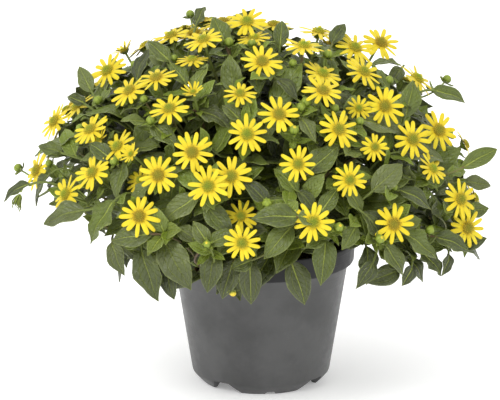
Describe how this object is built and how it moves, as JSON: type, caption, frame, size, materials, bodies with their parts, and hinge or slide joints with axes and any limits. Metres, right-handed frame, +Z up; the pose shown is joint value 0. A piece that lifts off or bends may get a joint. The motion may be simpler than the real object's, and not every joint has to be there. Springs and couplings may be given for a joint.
{
  "type": "potted creeping zinnia",
  "caption": "Mounded bedding plant with yellow daisy-like heads and soft green leaves, rooted in a round tapered grow pot of soil.",
  "frame": {"origin": "on the pot's axis, on the flat underside it stands on", "axes": "+Z up along the pot's axis; -Y towards the picture's camera; +X to the camera's right"},
  "size_m": [0.3079, 0.293, 0.2468],
  "materials": {
    "pot": "dark grey thermoformed plastic, satin, slightly scuffed",
    "soil": "dark brown crumbly potting soil",
    "shoot": "matte green leaves and stems, with yellow petals and olive discs"
  },
  "bodies": {
    "root": {"pot": "pot", "soil": "soil", "shoot_01": "shoot", "shoot_02": "shoot", "shoot_03": "shoot", "shoot_04": "shoot", "shoot_05": "shoot", "shoot_06": "shoot", "shoot_07": "shoot", "shoot_08": "shoot", "shoot_09": "shoot", "shoot_10": "shoot", "shoot_11": "shoot", "shoot_12": "shoot", "shoot_13": "shoot", "shoot_14": "shoot", "shoot_15": "shoot", "shoot_16": "shoot", "shoot_17": "shoot", "shoot_18": "shoot", "shoot_19": "shoot", "shoot_20": "shoot", "shoot_21": "shoot", "shoot_22": "shoot", "shoot_23": "shoot", "shoot_24": "shoot", "shoot_25": "shoot", "shoot_26": "shoot", "shoot_27": "shoot", "shoot_28": "shoot", "shoot_29": "shoot", "shoot_30": "shoot"}
  },
  "joints": []
}
